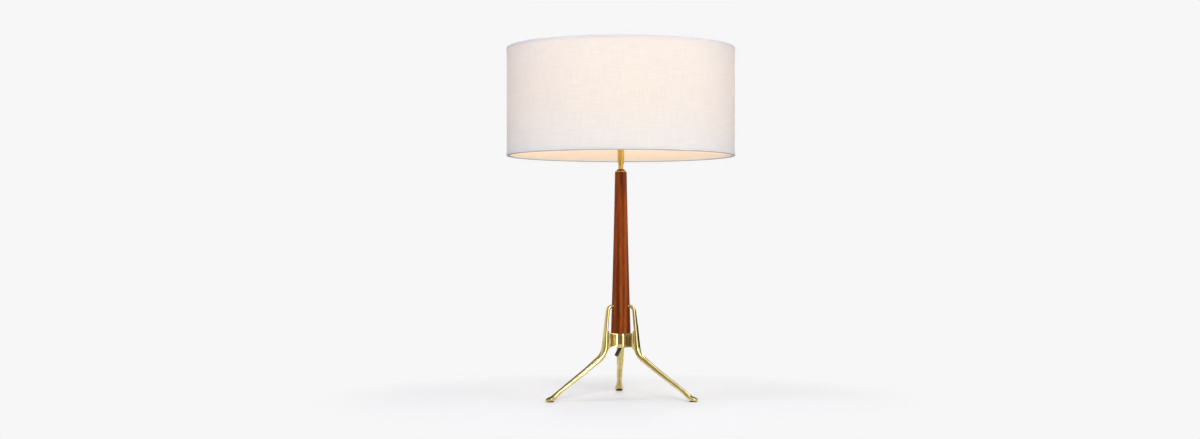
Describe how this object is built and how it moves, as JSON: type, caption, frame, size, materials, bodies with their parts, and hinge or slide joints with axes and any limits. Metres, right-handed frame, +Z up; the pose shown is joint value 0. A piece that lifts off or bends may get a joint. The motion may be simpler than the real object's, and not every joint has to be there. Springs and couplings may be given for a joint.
{
  "type": "tripod table lamp",
  "caption": "Table lamp on curved cast brass legs hooked into a tapered turned column, with a drum shade held by a harp and finial.",
  "frame": {"origin": "on the floor, at the centre of the circle through the feet, under the column's axis", "axes": "+Z up along the column; the front of the lamp, between two legs, faces -Y; the third leg points to +Y"},
  "size_m": [0.4317, 0.4318, 0.6604],
  "materials": {
    "cast_brass": "cast and polished",
    "spun_brass": "turned or spun, satin",
    "zinc_steel": "zinc plated",
    "walnut": "turned, oiled walnut",
    "pad_rubber": "matt",
    "dark_plastic": "moulded, matt",
    "holder_plastic": "moulded, matt",
    "sleeve_board": "pressed insulating board",
    "lamp_aluminium": "pressed",
    "frosted_glass": "frosted inside",
    "white_enamel": "white enamel",
    "shade_liner": "semi-matt styrene sheet",
    "linen": "woven, off-white",
    "hem_tape": "woven tape, off-white"
  },
  "bodies": {
    "base": {"foot_pads": "pad_rubber", "leg_back": "cast_brass", "leg_front_left": "cast_brass", "leg_front_right": "cast_brass", "hub": "cast_brass", "leg_setscrews": "zinc_steel", "lamp_pipe": "zinc_steel", "pipe_nut": "spun_brass", "lock_washer": "zinc_steel", "cord_outlet": "dark_plastic", "column": "walnut", "seat_ring": "spun_brass", "pipe_coupling": "zinc_steel", "neck": "spun_brass", "neck_tube": "spun_brass", "upper_nipple": "zinc_steel", "harp_saddle": "spun_brass", "harp": "spun_brass", "harp_stud": "spun_brass", "socket_cap": "spun_brass", "socket_shell": "spun_brass", "socket_liner": "sleeve_board", "socket_body": "holder_plastic", "screw_shell": "lamp_aluminium", "centre_contact": "spun_brass", "terminal_screws": "spun_brass"},
    "left_ferrule": {"ferrule_left": "spun_brass"},
    "right_ferrule": {"ferrule_right": "spun_brass"},
    "switch": {"switch_stem": "spun_brass", "switch_knob": "dark_plastic"},
    "bulb": {"bulb_cap": "lamp_aluminium", "bulb_insulator": "dark_plastic", "bulb_contact": "lamp_aluminium", "bulb_glass": "frosted_glass"},
    "shade": {"spider_frame": "white_enamel", "bottom_ring": "white_enamel", "shade_liner": "shade_liner", "shade_fabric": "linen", "top_hem": "hem_tape", "bottom_hem": "hem_tape"},
    "finial": {"finial": "spun_brass"}
  },
  "joints": [
    {"name": "shade_swivel", "type": "hinge", "parent": "base", "child": "shade", "pos_m": [0, 0, 0.6336], "axis": [0, 0, 1], "continuous": true},
    {"name": "finial_turn", "type": "hinge", "parent": "base", "child": "finial", "pos_m": [0, 0, 0.6336], "axis": [0, 0, 1], "continuous": true},
    {"name": "bulb_turn", "type": "hinge", "parent": "base", "child": "bulb", "pos_m": [0, 0, 0.52], "axis": [0, 0, 1], "continuous": true},
    {"name": "switch_turn", "type": "hinge", "parent": "base", "child": "switch", "pos_m": [0, -0.02, 0.4998], "axis": [0, -1, 0], "continuous": true},
    {"name": "ferrule_left_slide", "type": "slide", "parent": "base", "child": "left_ferrule", "axis": [0, 0, 1], "range_m": [0, 0.012]},
    {"name": "ferrule_right_slide", "type": "slide", "parent": "base", "child": "right_ferrule", "axis": [0, 0, 1], "range_m": [0, 0.012]}
  ]
}
